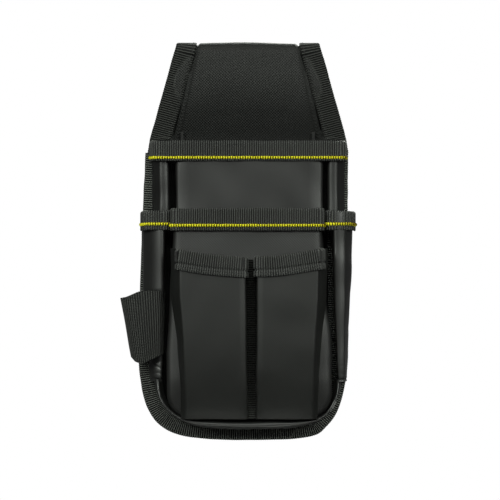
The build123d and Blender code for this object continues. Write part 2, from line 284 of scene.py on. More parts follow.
def tape_loop(middle, thickness=TAPE):
    """The outline of a tape round its middle line, with rounded edges, and how far each point is outside."""
    tangent = heading(middle)
    normal = np.stack([tangent[:, 1], -tangent[:, 0]], axis=1)
    half = thickness / 2
    turn = np.linspace(0, math.pi, 5)[1:-1, None]
    end = middle[-1] + half * (np.cos(turn) * normal[-1] + np.sin(turn) * tangent[-1])
    start = middle[0] - half * (np.cos(turn) * normal[0] + np.sin(turn) * tangent[0])
    loop = np.vstack([middle + half * normal, end, middle[::-1] - half * normal[::-1], start])
    m = len(middle)
    side = np.concatenate([np.ones(m), [0.8, 0.4, 0.1], np.zeros(m), [0.1, 0.4, 0.8]])
    return loop, side


def ribs(path, side, amount=0.3):
    """How far the ribs of a tape stand out at each point of a sweep."""
    ridge = np.cos(lengths(path) * 2 * math.pi / RIB) * 0.5 + 0.5
    return amount * np.outer(ridge**0.8, side)


def fine(path, per_rib=5, pitch=RIB):
    """A path with enough points to carry ribs."""
    return evenly(path, max(8, int(lengths(path)[-1] / pitch * per_rib)))


def place(obj, material, body=BODY, nodes=()):
    """Gives a piece its material and slot and its body, and hides the CAD nodes it stands for."""
    obj.data.materials.append(material)
    if body:
        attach(obj, body)
    if nodes:
        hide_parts(*nodes)
    return obj


def stitches(name, path, normal, material, stitch=2.6, gap=0.9, width=0.34, body=BODY):
    """A row of separate stitches lying on a surface along a path."""
    s = lengths(path)
    points, faces = [], []
    around, along = 6, 5
    for start in np.arange(0, s[-1] - stitch, stitch + gap):
        t = start + stitch * np.linspace(0, 1, along)
        mid = np.stack([np.interp(t, s, path[:, i]) for i in range(3)], axis=1)
        up = unit(np.stack([np.interp(t, s, normal[:, i]) for i in range(3)], axis=1))
        side = unit(np.cross(np.gradient(mid, axis=0), up))
        arch = np.sin(np.linspace(0.12, math.pi - 0.12, along))
        size = width * (0.45 + 0.55 * arch)
        angle = full_turn(around)
        middle = (mid + up * (arch * width * 0.5)[:, None])[:, None]
        spoke = np.cos(angle)[None, :, None] * side[:, None] + np.sin(angle)[None, :, None] * up[:, None]
        ring = middle + size[:, None, None] * spoke
        base = len(points) * around * along
        points.append(ring.reshape(-1, 3))
        faces += quads(along, around, base, around=True)
        faces.append([base + i for i in range(around)])
        faces.append([base + (along - 1) * around + i for i in range(around)][::-1])
    obj = make_mesh(name, np.vstack(points), faces)
    face_outwards(obj)
    return place(obj, material, body)


# ---- materials

def nodes_of(name):
    mat = bpy.data.materials.new(name)
    mat.use_nodes = True
    tree = mat.node_tree
    return mat, tree, tree.nodes["Principled BSDF"]


def math_node(tree, operation, first, second=None):
    node = tree.nodes.new("ShaderNodeMath")
    node.operation = operation
    for socket, value in zip(node.inputs, (first, second)):
        if value is None:
            continue
        if isinstance(value, (int, float)):
            socket.default_value = value
        else:
            tree.links.new(value, socket)
    return node.outputs[0]


def noise(tree, vector, scale, detail=3.0):
    node = tree.nodes.new("ShaderNodeTexNoise")
    node.inputs["Scale"].default_value = scale
    node.inputs["Detail"].default_value = detail
    tree.links.new(vector, node.inputs["Vector"])
    return node.outputs["Fac"]


def coloured(tree, shader, factor, stops):
    """Gives the shader a base colour that runs through (factor, colour) stops."""
    node = tree.nodes.new("ShaderNodeValToRGB")
    elements = node.color_ramp.elements
    for i, (position, colour) in enumerate(stops):
        element = elements[i] if i < len(elements) else elements.new(position)
        element.position = position
        element.color = (*colour, 1)
    tree.links.new(factor, node.inputs["Fac"])
    tree.links.new(node.outputs["Color"], shader.inputs["Base Color"])


def bumped(tree, shader, height, distance, strength=1.0):
    node = tree.nodes.new("ShaderNodeBump")
    node.inputs["Strength"].default_value = strength
    node.inputs["Distance"].default_value = distance
    tree.links.new(height, node.inputs["Height"])
    tree.links.new(node.outputs["Normal"], shader.inputs["Normal"])


def cloth_axes(tree):
    """Millimetres across and down the cloth, as two sockets, and both as a vector."""
    node = tree.nodes.new("ShaderNodeUVMap")
    node.uv_map = "cloth"
    across, down, _ = separate(tree, node.outputs["UV"])
    return across, down, node.outputs["UV"]


def body_vector(tree):
    return tree.nodes.new("ShaderNodeTexCoord").outputs["Object"]


def tinted(colour, factor):
    return tuple(min(1.0, c * factor) for c in colour)


def separate(tree, vector):
    """The three sockets of a vector."""
    node = tree.nodes.new("ShaderNodeSeparateXYZ")
    tree.links.new(vector, node.inputs[0])
    return node.outputs


def weighted(tree, *terms):
    """The sum of sockets, each with its weight."""
    total = None
    for socket, weight in terms:
        part = math_node(tree, "MULTIPLY", socket, weight)
        total = part if total is None else math_node(tree, "ADD", total, part)
    return total


def wave(tree, operation, value, period):
    """A sine or cosine of a length in millimetres, between 0 and 1."""
    turn = math_node(tree, operation, math_node(tree, "MULTIPLY", value, 2 * math.pi / period))
    return math_node(tree, "ADD", math_node(tree, "MULTIPLY", turn, 0.5), 0.5)


def above_pockets(tree, lowest):
    """A mask of painted shade: 1 over the upper part of the hanger, falling to `lowest` where the pockets
    stand out below it.
    """
    node = tree.nodes.new("ShaderNodeMapRange")
    node.interpolation_type = "SMOOTHSTEP"
    limits = {"From Min": 0.008, "From Max": -0.036, "To Min": 1.0, "To Max": lowest}
    for socket, value in limits.items():
        node.inputs[socket].default_value = value
    tree.links.new(separate(tree, body_vector(tree))[2], node.inputs["Value"])
    return node.outputs["Result"]


def woven(name, colour, pitch, depth, roughness, contrast=0.5, specular=0.5, painted_shade=0.0, ior=1.5):
    """Plain-weave cloth: over-and-under yarns `pitch` mm apart, with uneven dye and slight wear.

    `painted_shade` is how much shine and colour it loses towards the lower end of the hanger: painted shade.
    """
    mat, tree, shader = nodes_of(name)
    u, v, uv = cloth_axes(tree)
    along = math_node(tree, "SINE", math_node(tree, "MULTIPLY", u, math.pi / pitch))
    down = math_node(tree, "SINE", math_node(tree, "MULTIPLY", v, math.pi / pitch))
    crossing = math_node(tree, "ADD", math_node(tree, "MULTIPLY", along, down), 1.0)
    yarn = math_node(tree, "MULTIPLY", crossing, 0.5)
    mottle = noise(tree, body_vector(tree), 38, 4)
    grain = noise(tree, uv, 2.2, 2)
    dye = 1 - contrast
    shade = weighted(tree, (yarn, contrast), (mottle, 0.75 * dye), (grain, 0.25 * dye))
    # Painted shade: the hanger's cloth gets darker and less shiny towards its lower end.
    if painted_shade:
        unshaded_share = above_pockets(tree, 1.0 - painted_shade)
        shade = math_node(tree, "MULTIPLY", shade, unshaded_share)
        shine = math_node(tree, "MULTIPLY", unshaded_share, specular)
        tree.links.new(shine, shader.inputs["Specular IOR Level"])
    else:
        shader.inputs["Specular IOR Level"].default_value = specular
    coloured(tree, shader, shade, [(0.15, tinted(colour, 0.35)), (0.85, tinted(colour, 1.65))])
    rough = math_node(tree, "ADD", math_node(tree, "MULTIPLY", grain, 0.25), roughness - 0.12)
    tree.links.new(rough, shader.inputs["Roughness"])
    shader.inputs["IOR"].default_value = ior
    bumped(tree, shader, weighted(tree, (yarn, 1.0), (grain, 0.35)), depth * 0.001)
    return mat


def webbing(name, colour, low, high, specular, fleck=1.1, worn=1.0, pitch=RIB):
    """Ribbed tape: the ribs are in the mesh, and this adds their yarns, fuzz and worn high spots.

    `low` and `high` are how dark the gaps and how light the ribs are; the dark gaps and light ribs are partly
    painted shade and painted light. `worn` is how much lighter the worn spots are.
    """
    mat, tree, shader = nodes_of(name)
    u, v, uv = cloth_axes(tree)
    ridge = wave(tree, "COSINE", u, pitch)
    twist = wave(tree, "SINE", math_node(tree, "ADD", v, math_node(tree, "MULTIPLY", u, 0.4)), 1.1)
    fuzz = noise(tree, uv, fleck, 3)
    wear = noise(tree, body_vector(tree), 45, 2)
    # The rib wave darkens the gaps and lightens the ribs' tops: partly yarn, partly painted shade and light.
    total = weighted(tree, (ridge, 0.56), (twist, 0.08), (fuzz, 0.26), (wear, 0.1))
    gap, rib, bare = tinted(colour, low), tinted(colour, high), tinted(colour, high * worn)
    coloured(tree, shader, total, [(0.34, gap), (0.62, rib), (0.76, bare)])
    bumped(tree, shader, weighted(tree, (twist, 0.5), (fuzz, 0.6), (ridge, 1.2)), 0.0003)
    shader.inputs["Roughness"].default_value = 0.6
    shader.inputs["Specular IOR Level"].default_value = specular
    return mat


def plain(name, colour, roughness, grain_scale):
    """A simple fine-grained finish, for thread and board."""
    mat, tree, shader = nodes_of(name)
    grain = noise(tree, body_vector(tree), grain_scale, 3)
    coloured(tree, shader, grain, [(0.3, tinted(colour, 0.75)), (0.7, tinted(colour, 1.25))])
    bumped(tree, shader, grain, 0.00015)
    shader.inputs["Roughness"].default_value = roughness
    shader.inputs["Sheen Weight"].default_value = 0.2
    return mat


# Colour, shine and wear were matched to the photograph's tones panel by panel, under this scene's lights. The
# real pouch probably has only two or three cloths, so the differences between these cloths, and between the
# tapes, are partly painted light and shade, and in other light the panels may differ more than they should.
# The hanger cloth's darkening towards its lower end is painted shade, for the same reason.
OXFORD = woven("oxford_cloth", (0.0088, 0.0094, 0.0085), pitch=1.0, depth=0.4, roughness=0.56, contrast=0.8,
               specular=0.42)
HANGER_CLOTH = woven("hanger_cloth", (0.0084, 0.0090, 0.0081), pitch=1.0, depth=0.35, roughness=0.56,
                     contrast=0.75, specular=0.42, painted_shade=0.5)
COATED = woven("coated_cloth", (0.0066, 0.0068, 0.0064), pitch=0.5, depth=0.02, roughness=0.44,
               contrast=0.12, specular=0.94)
TUBED = woven("tube_cloth", (0.0090, 0.0094, 0.0088), pitch=0.5, depth=0.02, roughness=0.44,
              contrast=0.12, specular=1.0, ior=1.6)
LOWER_CLOTH = woven("lower_pocket_cloth", (0.0078, 0.0081, 0.0076), pitch=0.9, depth=0.12, roughness=0.48,
                    contrast=0.6, specular=0.86)
POCKET = woven("small_pocket_cloth", (0.0078, 0.0084, 0.0075), pitch=0.6, depth=0.05, roughness=0.5,
               contrast=0.3, specular=0.72)
INNER = woven("inner_cloth", (0.005, 0.005, 0.005), pitch=0.6, depth=0.1, roughness=0.75, specular=0.2)
RIBBED = webbing("ribbed_tape", (0.0110, 0.0115, 0.0107), low=0.01, high=3.6, specular=0.62, worn=2.0)
HANGER_RIB = webbing("hanger_ribbing", (0.0048, 0.0050, 0.0046), low=0.01, high=3.4, specular=0.26,
                     worn=4.0)
EDGE_RIB = webbing("edge_ribbing", (0.0074, 0.0078, 0.0072), low=0.0, high=3.2, specular=0.3, fleck=0.7,
                   worn=11.0)
# The divider's tape is a less shiny, lower-contrast copy of the band tape: painted shade for its deep groove.
DARK_RIB = webbing("divider_ribbing", (0.0145, 0.0150, 0.0138), low=0.3, high=1.8, specular=0.15)
LOOSE_RIB = webbing("loop_ribbing", (0.0100, 0.0105, 0.0096), low=0.01, high=3.6, specular=0.5, worn=1.6)
CORD_TWIST = 1.75  # pitch of the yellow cord's strands
YELLOW = webbing("yellow_yarn", (0.84, 0.53, 0.018), low=0.14, high=1.8, specular=0.1, pitch=CORD_TWIST)
THREAD = plain("black_thread", (0.006, 0.006, 0.0058), 0.6, 900)
PALE_THREAD = plain("worn_thread", (0.085, 0.086, 0.082), 0.5, 900)
BOARD = plain("pressed_board", (0.05, 0.048, 0.045), 0.8, 250)


# ---- outlines of the body

# The body's edges from the top down and its base from the left, as Z and X, and half the pockets' width by Z.
LEFT_EDGE = [(-45, -70.0), (-80, -71.6), (-120, -73.2), (-160, -74.3), (-192, -74.6), (-208, -72.8),
             (-220, -69.9), (-229, -65.5), (-236, -58.5), (-241, -48.0)]
RIGHT_EDGE = [(-45, 69.0), (-80, 68.8), (-120, 69.0), (-160, 69.3), (-190, 68.8), (-207, 66.8),
              (-220, 63.6), (-229, 59.8), (-236, 53.8), (-241, 47.4)]
BASE_EDGE = [(-243.4, -33.0), (-244.5, -12.0), (-244.5, 12.0), (-243.6, 34.0)]
BOX_HALF = [(-38, 51.2), (-99, 51.4), (-186, 56.2), (-231, 56.2)]


def outline(count, top=JOIN_Z, inset=0.0):
    """The body's edge from the top left, round the bottom, to the top right, as X and Z."""
    keys = [(x, z) for z, x in LEFT_EDGE + BASE_EDGE + RIGHT_EDGE[::-1]]
    keys[0] = (keys[0][0], top)
    keys[-1] = (keys[-1][0], top)
    line = smooth(keys, count)
    tangent = heading(line)
    return line + inset * np.stack([-tangent[:, 1], tangent[:, 0]], axis=1)


def body_sheet(y):
    """A flat grid at one Y, filling the body's outline up to the inside of its tape."""
    inset, rows, cols, top = 1.6, 70, 44, JOIN_Z + 6.5
    line = outline(1600, top, inset)
    low = int(np.argmin(line[:, 1]))
    t = np.linspace(0, 1, rows)
    z = top + (line[low, 1] + 0.4 - top) * (1 - (1 - t)**1.6)
    left = np.interp(-z, -line[:low, 1], line[:low, 0])
    right = np.interp(-z, -line[:low:-1, 1], line[:low:-1, 0])
    u = np.linspace(0, 1, cols)
    x = left[:, None] * (1 - u) + right[:, None] * u
    return np.stack([x, np.full_like(x, y), np.repeat(z[:, None], cols, axis=1)], axis=-1)


def folded(width, room, inner=None, steps=8):
    """The middle line of a tape folded over an edge `room` mm thick, from the outer leaf to the inner one."""
    half, nose = (room + TAPE) / 2, 0.9
    inner = width - 1.0 if inner is None else inner
    outer_leaf = np.stack([np.linspace(width, 0.0, steps + 1), np.full(steps + 1, half)], axis=1)
    angle = np.linspace(math.pi / 2, 1.5 * math.pi, 9)[1:-1]
    turn = np.stack([np.cos(angle) * nose, np.sin(angle) * half], axis=1)
    inner_leaf = np.stack([np.linspace(0.0, inner, steps // 2), np.full(steps // 2, -half)], axis=1)
    return np.vstack([outer_leaf, turn, inner_leaf])


# ---- hanger

HANGER_EDGE = [(30.6, 48.9), (-28.0, 65.2), (-36.0, 67.2), (-45.0, 68.9)]
HANGER_SHIFT = 0.4


def hanger_section(count):
    """The hanger's outer face in Y and Z, up its rear and over the fold, then down its front."""
    front, top = PANEL.y0, PANEL.z1 + 0.7
    bend = top - abs(front)
    rear = [(-4.6, -40.0), (-3.8, -36.5), (0.6, -31.0), (-front - 0.6, -27.4), (-front, -20.0)]
    fold = [(-front * math.cos(a), bend - front * math.sin(a)) for a in np.linspace(0, math.pi, 9)]
    foot = [(front, -8.0), (front + 1.0, -20.0), (front + 2.2, -34.0), (front + 1.2, JOIN_Z)]
    return smooth([*rear, (-front, bend - 8), *fold, (front, bend - 8), *foot], count)


def hanger_frame(count, sign):
    """The hanger's edge line on one side, with the direction inwards and the one off the cloth."""
    section = hanger_section(count)
    tangent = heading(section)
    off = np.stack([np.zeros(count), -tangent[:, 1], tangent[:, 0]], axis=1)
    off *= np.sign((off[:, 1:] * section).sum())
    x = mix(HANGER_EDGE, section[:, 1]) * sign + HANGER_SHIFT
    line = np.column_stack([x, section])
    inward = np.cross(heading(line), off)
    inward *= np.sign(inward[count // 2, 0]) * -sign
    return line, inward, off


def hanger_cloth():
    """The woven panel folded over at the top, dented along the tapes' seams and full between them."""
    rows, cols = 220, 90
    section = hanger_section(rows)
    half = mix(HANGER_EDGE, section[:, 1]) - 0.8
    x = half[:, None] * np.linspace(-1, 1, cols) + HANGER_SHIFT
    grid = np.stack([x, *(np.repeat(section[:, i, None], cols, axis=1) for i in (0, 1))], axis=-1)
    across = np.cos(x / half[:, None] * math.pi / 2)
    from_edge = half[:, None] - np.abs(x - HANGER_SHIFT)
    dent = 1.7 * np.exp(-((from_edge - 12.7) / 1.2)**2)
    on_front = (section[:, 0] < 0)[:, None]
    bulge = 3.0 * np.exp(-((grid[..., 2] - 8) / 20)**2) * on_front
    grid += outward(grid) * ((rumple(grid, 0.22, 34, 3) + 0.4 + bulge) * across**0.5 - dent)[..., None]
    obj = place(shell("hanger_cloth", grid), HANGER_CLOTH, None, ["hanger_panel"])
    across_joint(obj)


def across_joint(obj):
    """Bakes a piece's placement into its mesh; nothing bends it with the flexing strip between the hanger and
    the body.
    """
    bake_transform(obj)


def hanger_tape(side, sign):
    """The tape sewn over one slanting edge of the hanger and round its fold, with its row of stitches."""
    section = hanger_section(400)
    count = len(fine(np.column_stack([mix(HANGER_EDGE, section[:, 1]), section])))
    line, inward, off = hanger_frame(count, sign)
    loop, outside = tape_loop(folded(12.4, CLOTH + 0.1))
    line = line - off * CLOTH / 2
    bulge = ribs(line, outside) + rumple(line, 0.1, 20, 5 + sign)[:, None] * outside
    obj = sweep(f"hanger_tape_{side}", line, inward, off, loop, bulge)
    place(obj, HANGER_RIB, None, [f"hanger_binding_{side}"])
    across_joint(obj)
    seam = line + inward * 10.9 + off * (CLOTH / 2 + TAPE + 0.12)
    row = stitches(f"hanger_seam_{side}", seam, off, THREAD, body=None)
    across_joint(row)


# ---- back

def back():
    """The rear cloth, which the stiffener board pads out, and the front lining."""
    rear = body_sheet(0.0)
    pad = ease((rear[..., 2] + 245) / 30) * ease((70 - np.abs(rear[..., 0])) / 22)
    hollow = rumple(rear, 0.35, 60, 11)
    rear[..., 1] = REAR_Y + 0.9 * pad + hollow * pad
    obj = shell("back_cloth", rear[:, ::-1], 1.2)
    place(obj, OXFORD, nodes=["back_fabric"])
    obj = place(shell("inner_lining", body_sheet(LINING_Y), 1.0), INNER, nodes=["back_lining"])


def perimeter_tape():
    """The tape sewn round the edge of the back, with its row of stitches on both faces."""
    line = outline(2000)
    count = len(fine(np.column_stack([line, line[:, :1] * 0])))
    line = outline(count)
    mid_y = (LINING_Y + REAR_Y) / 2
    path = np.stack([line[:, 0], np.full(count, mid_y), line[:, 1]], axis=1)
    front_dir = np.tile([0.0, -1.0, 0.0], (count, 1))
    inward = np.cross(heading(path), front_dir)
    inward *= np.sign(inward[0, 0])
    loop, outside = tape_loop(folded(12.4, REAR_Y - LINING_Y))
    bulge = ribs(path, outside, 0.22) + rumple(path, 0.12, 18, 21)[:, None] * outside
    obj = sweep("perimeter_tape", path, inward, front_dir, loop, bulge)
    place(obj, EDGE_RIB, nodes=["perimeter_binding"])
    lift = (REAR_Y - LINING_Y) / 2 + TAPE + 0.12
    stitches("perimeter_seam_front", path + inward * 10.6 + front_dir * lift, front_dir, THREAD)
    stitches("perimeter_seam_rear", path + inward * 10.6 - front_dir * lift, -front_dir, THREAD)


# ---- walls lofted from level sections

# How far each kind of pocket stands out at its mouth.
UPPER_DEPTH, LOWER_DEPTH, TUBE_DEPTH, SMALL_DEPTH = 16.2, 26.0, 24.2, 41.4


def loft(sections, z):
    """A grid from X and depth sections, one for each level."""
    return np.stack([at(s[:, 0], s[:, 1], level) for s, level in zip(sections, z)])


def box_section(left, right, depth, radii, back, count):
    """A pocket's front and its two returns at one level."""
    return rounded([(left, back), (left, depth), (right, depth), (right, back)], radii, count)


def pillow(x, half, width, fall, crown):
    """The height of a stuffed panel: crowned in the middle, and falling away over `width` at both sides."""
    near = np.clip((np.abs(x) - (half - width)) / width, 0, 1)
    return crown * np.clip(1 - (x / half)**2, 0, 1) - fall * near**1.6


def upper_pocket():
    """The upper pocket's cloth, crowned in the middle and falling away at both sides."""
    z = np.linspace(UPPER.z1, UPPER.z0 + 6, 84)
    sections = []
    for level in z:
        half = float(mix(BOX_HALF, level))
        section = box_section(-half + 1.2, half + 1.4, UPPER_DEPTH, [2.0, 2.0], 0.3, 150)
        front = ease((section[:, 1] - 9) / 5)
        section[:, 1] += pillow(section[:, 0] - 1.3, half + 0.1, 10.0, 2.2, 0.6) * front
        sections.append(section)
    grid = loft(sections, z)
    grid += outward(grid) * rumple(grid, 0.3, 40, 31)[..., None]
    obj = place(shell("upper_pocket_cloth", grid), COATED, nodes=["upper_pocket_front"])


# A column's plan from its inner side outwards, as shares of its half width and of its depth.
COLUMN_PLAN = np.array([(-1.0, 0.03), (-0.99, 0.6), (-0.93, 0.86), (-0.8, 0.95), (-0.5, 1.0), (-0.15, 1.0),
                        (0.1, 0.95), (0.28, 0.84), (0.5, 0.64), (0.75, 0.42), (0.93, 0.2), (1.0, 0.05),
                        (1.2, 0.02)])


def pleat(side, sign):
    """The rounded, folded column beside the upper pocket, which flattens as it goes down behind the tube."""
    z = np.linspace(UPPER.z1, -128, 52)
    sections = []
    for level in z:
        low = float(ease((-level - 86) / 40))
        middle = (62.0 if sign > 0 else 60.6) + 1.2 * low
        sections.append(smooth(COLUMN_PLAN * [6.2 - 3.2 * low, 14.2 - 8.4 * low] + [middle, 0], 60))
    grid = loft(sections, z)
    grid += outward(grid) * rumple(grid, 0.25, 26, 41 + sign)[..., None]
    obj = shell(f"upper_column_{side}", grid, 1.2, mirrored=sign < 0)
    place(obj, COATED, nodes=[f"upper_pleat_{side}"])


def lower_pocket():
    """The lower pocket's cloth, rounded in at its two bottom corners."""
    base, corner = LOWER.z0 + 0.5, 18.0
    z = np.linspace(LOWER.z1, base, 96)
    sections = []
    for level in z:
        half = float(mix(BOX_HALF, level))
        into = max(0.0, (base + corner - level) / corner)
        half -= corner * (1 - math.sqrt(max(0.0, 1 - min(into, 0.999)**2)))
        depth = LOWER_DEPTH - 3.6 * float(ease((-200 - level) / 30))
        shift = 1.1 * float(ease((-140 - level) / 35))
        section = box_section(-half - 0.1, half + 0.4 + 2 * shift, depth, [3.4, 3.4], 9.0, 130)
        front = ease((section[:, 1] - 17) / 6)
        section[:, 1] += pillow(section[:, 0] - shift, half, 7.0, 1.2, 0.9) * front
        sections.append(section)
    grid = loft(sections, z)
    grid += outward(grid) * rumple(grid, 0.25, 44, 51)[..., None]
    obj = shell("lower_pocket_cloth", grid)
    place(obj, LOWER_CLOTH, nodes=["lower_pocket_front"])


# A tube's plan from the groove over the crest to the knee, and from there to the edge, as shares of the
# widths of both parts and of the depth.
TUBE_START = [(0.0, 0.02), (0.0, 0.65), (0.01, 0.88), (0.05, 0.96), (0.15, 0.99)]
LEFT_PLAN = (
    np.array([*TUBE_START, (0.26, 1.0), (0.42, 0.985), (0.6, 0.957), (0.8, 0.915), (1.0, 0.86)]),
    np.array([(0.15, 0.81), (0.4, 0.71), (0.7, 0.56), (0.9, 0.41), (1.0, 0.02)]))
RIGHT_PLAN = (
    np.array([*TUBE_START, (0.34, 1.0), (0.58, 0.99), (0.83, 0.962), (1.0, 0.93)]),
    np.array([(0.15, 0.88), (0.4, 0.765), (0.7, 0.595), (0.9, 0.43), (1.0, 0.02)]))
# Z, and how far the tube's inner side, its knee and its outer side are from the middle of the pouch.
LEFT_TUBE = [(-87, 57.8, 65.9, 73.7), (-148, 57.9, 65.8, 73.2), (-176, 58.6, 65.2, 71.2),
             (-204.5, 59.6, 64.4, 68.0)]
RIGHT_TUBE = [(-87, 59.5, 67.6, 73.5), (-125, 59.7, 67.6, 73.2), (-148, 60.1, 67.7, 71.8),
              (-176, 61.5, 67.6, 70.4), (-204.5, 63.0, 67.5, 69.4)]


def tube(side, sign):
    """The narrow tool tube: a crest beside the pocket, a slope to the edge, creases and a sewn lower end.

    The tool loop squeezes the left one.
    """
    keys = RIGHT_TUBE if sign > 0 else LEFT_TUBE
    inner_plan, outer_plan = RIGHT_PLAN if sign > 0 else LEFT_PLAN
    tuck = 3.0 if sign > 0 else 5.2
    grip = 0.0 if sign > 0 else 3.4
    crease = 0.3 if sign > 0 else 1.0
    low = keys[-1][0]
    z = np.concatenate([np.linspace(TUBE.z1, -150, 60), np.linspace(-151, low, 90)])
    sections = []
    for level in z:
        down = (TUBE.z1 - level) / (TUBE.z1 - low)
        near, knee, far = (mix([(key[0], key[i]) for key in keys], level) for i in (1, 2, 3))
        seam = math.exp(-((level + 203.0) / 0.6)**2)
        squeeze = grip * float(ease((-level - 140) / 8) * (1 - 0.5 * ease((-level - 184) / 20)))
        depth = TUBE_DEPTH - 3.4 * down - tuck * down**3 - 1.2 * seam - squeeze
        inner = inner_plan * [knee - near, depth] + [near, 0.3]
        outer = outer_plan * [far - knee - 0.4 * seam, depth] + [knee, 0.3]
        sections.append(smooth(np.vstack([inner, outer]), 96))
    grid = loft(sections, z)
    creases = 0.0
    for level, size in ((-190.0, 0.12), (-194.5, 0.2), (-199.5, 0.16)):
        bend = 1.0 * np.sin(grid[..., 0] * 0.4 + level)
        creases = creases + size * np.exp(-((grid[..., 2] - level - bend) / 0.7)**2)
    grid += outward(grid) * (rumple(grid, 0.2, 30, 63 + sign) - creases * crease)[..., None]
    obj = shell(f"tube_{side}", grid, 1.2, mirrored=sign < 0)
    place(obj, TUBED, nodes=[f"tool_tube_{side}"])


# ---- tape bands along the mouths

def band(name, plan, z_top, nodes, seed, width=12.0, inner=10.0, drop=0.0, hem=None):
    """A folded tape along a pocket's mouth; returns its line and the directions down and off the pocket.

    `plan` holds X and depth, `drop` is how far each point hangs lower, and `hem` is a sunk seam's place and
    depth.
    """
    line = fine(at(plan[:, 0], plan[:, 1], z_top - 1.0 - drop))
    tangent = heading(line)
    flat = unit(tangent * [1, 1, 0])
    off = np.stack([flat[:, 1], -flat[:, 0], np.zeros(len(line))], axis=1)
    down = np.cross(tangent, off)
    loop, outside = tape_loop(folded(width, CLOTH, inner, steps=16))
    bulge = ribs(line, outside, 0.42) + rumple(line, 0.14, 24, 71 + seed)[:, None] * outside
    if hem:
        seam, depth = hem
        along = np.exp(-((loop[:, 0] - seam) / 0.55)**2) * (outside > 0.9)
        bulge = bulge * (1 - 0.6 * along) - depth * along
    place(sweep(name, line, down, off, loop, bulge), RIBBED, nodes=nodes)
    return line, down, off


def stripe(name, line, down, off, drop, nodes):
    """A twisted yellow cord sewn along a band."""
    lift, height = TAPE + CLOTH / 2, 1.9
    centre = fine(line + down * drop + off * (lift + 0.25), 7, 1.7)
    share = np.linspace(0, 1, len(centre))
    at_line = np.interp(share, np.linspace(0, 1, len(line)), np.arange(len(line))).astype(int)
    angle = full_turn(14)
    loop = np.stack([np.cos(angle) * height / 2, np.sin(angle) * 0.8], axis=1)
    strand = np.cos(lengths(centre)[:, None] * 2 * math.pi / CORD_TWIST + angle[None])
    bulge = 0.3 * strand + rumple(centre, 0.05, 9, 91)[:, None]
    obj = sweep(name, centre, down[at_line], off[at_line], loop, bulge)
    place(obj, YELLOW, nodes=nodes)


def upper_band():
    """The wide band over the upper pocket and both its columns, with its stripe."""
    front = UPPER_DEPTH - 1.4
    plan = rounded([(-66.6, 1.2), (-63.6, front), (66.0, front), (67.2, 1.2)], [3.5, 3.5], 400)
    plan[:, 1] += 1.3 * np.clip(1 - (plan[:, 0] / 62)**2, 0, 1)**0.6
    line, down, off = band("upper_band", plan, UPPER_BAND.z1, ["upper_mouth_band"], 1)
    stripe("upper_stripe_cord", line, down, off, 10.1, ["upper_stripe"])


def lower_bands():
    """The bands of the lower pocket and of the two tubes, each with its stripe."""
    half = LOWER_BAND.x1 - 0.6
    front = LOWER_DEPTH + 0.4
    plan = rounded([(-half, 12.0), (-half, front), (half, front), (half, 12.0)], [3, 3], 300)
    plan[:, 1] += 1.0 * np.clip(1 - (plan[:, 0] / 48)**2, 0, 1)**0.6
    line, down, off = band("lower_band_middle", plan, LOWER_BAND.z1, ["lower_band_centre"], 2, 13.4)
    stripe("lower_stripe_cord", line, down, off, 10.2, ["lower_stripe_centre"])
    for side, sign in SIDES:
        middle = (TUBE_BAND.x0 + TUBE_BAND.x1) / 2
        half = (TUBE_BAND.x1 - TUBE_BAND.x0) / 2 - 2.0
        middle += 0.3 if sign > 0 else -0.6
        near, far = middle - half, middle + half
        keys = [(near, 10.0), (near, TUBE_DEPTH - 0.8), (far, TUBE_DEPTH - 3.2), (far, 1.0)]
        plan = rounded(keys, [5, 11], 160)
        if sign < 0:
            plan = (plan * [-1, 1])[::-1]
        out = (plan[:, 0] * sign - middle) / half
        drop = 0.5 * ease((out - 0.6) / 0.4)
        line, down, off = band(f"tube_band_{side}", plan, TUBE_BAND.z1 + 0.4, [f"lower_band_{side}"],
                               3 + sign, 11.4, drop=drop)
        stripe(f"tube_stripe_{side}", line, down, off, 7.6, [f"lower_stripe_{side}"])


# ---- small pockets

# Z and X of each small pocket's outer front corner, outer foot and inner side, and X and Z along its mouth.
LEFT_SMALL = SimpleNamespace(
    outer_front=[(-112, -47.2), (-148, -46.6), (-162, -45.4), (-176, -44.5), (-218, -43.6), (-230, -43.4)],
    outer_base=[(-112, -53.6), (-148, -53.4), (-162, -52.0), (-176, -49.9), (-218, -46.9), (-230, -46.2)],
    inner=[(-112, -1.2), (-150, -0.8), (-190, -0.6), (-230, 0.3)],
    mouth=[(-53, -111.8), (-34, -115.0), (-20, -116.8), (0, -118.4)])
RIGHT_SMALL = SimpleNamespace(
    outer_front=[(-112, 49.2), (-148, 48.7), (-162, 48.0), (-176, 47.0), (-218, 45.7), (-230, 45.5)],
    outer_base=[(-112, 55.3), (-148, 55.1), (-162, 53.8), (-176, 52.0), (-218, 49.3), (-230, 48.4)],
    inner=[(-112, 6.4), (-150, 6.3), (-190, 6.3), (-230, 5.9)],
    mouth=[(4, -117.6), (18, -117.2), (32, -115.4), (54, -111.8)])


